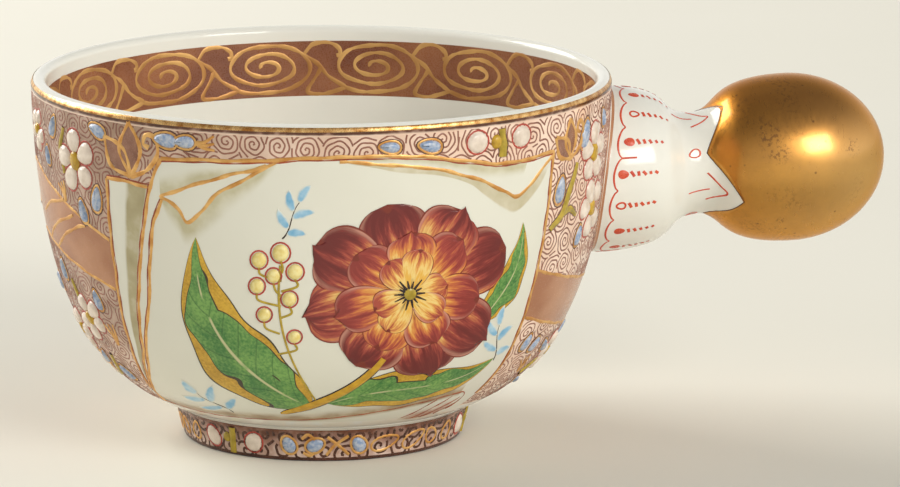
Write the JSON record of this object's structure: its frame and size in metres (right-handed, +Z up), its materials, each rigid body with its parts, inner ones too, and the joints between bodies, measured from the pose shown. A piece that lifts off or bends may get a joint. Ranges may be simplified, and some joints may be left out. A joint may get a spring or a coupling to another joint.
{
  "type": "espresso cup",
  "caption": "Small porcelain espresso cup: turned round bowl on a tapered foot ring, with a flared bell collar on the wall carrying an egg-shaped gilt knob handle.",
  "frame": {"origin": "middle of the footprint, on the plane that the foot ring stands on", "axes": "+X along the handle, from the bowl to the knob; +Z up, along the bowl's turning axis"},
  "size_m": [0.1074, 0.072, 0.0455],
  "materials": {
    "bowl_porcelain": "clear-glazed white porcelain with overglaze enamels and gilt lines",
    "foot_porcelain": "clear-glazed white porcelain with enamels, brown edge and bare standing face",
    "bell_porcelain": "clear-glazed white porcelain with painted red petals",
    "gilt_porcelain": "burnished gold over glazed porcelain, lightly worn"
  },
  "bodies": {
    "root": {"bowl": "bowl_porcelain", "foot_ring": "foot_porcelain", "handle_bell": "bell_porcelain", "handle_knob": "gilt_porcelain"}
  },
  "joints": []
}
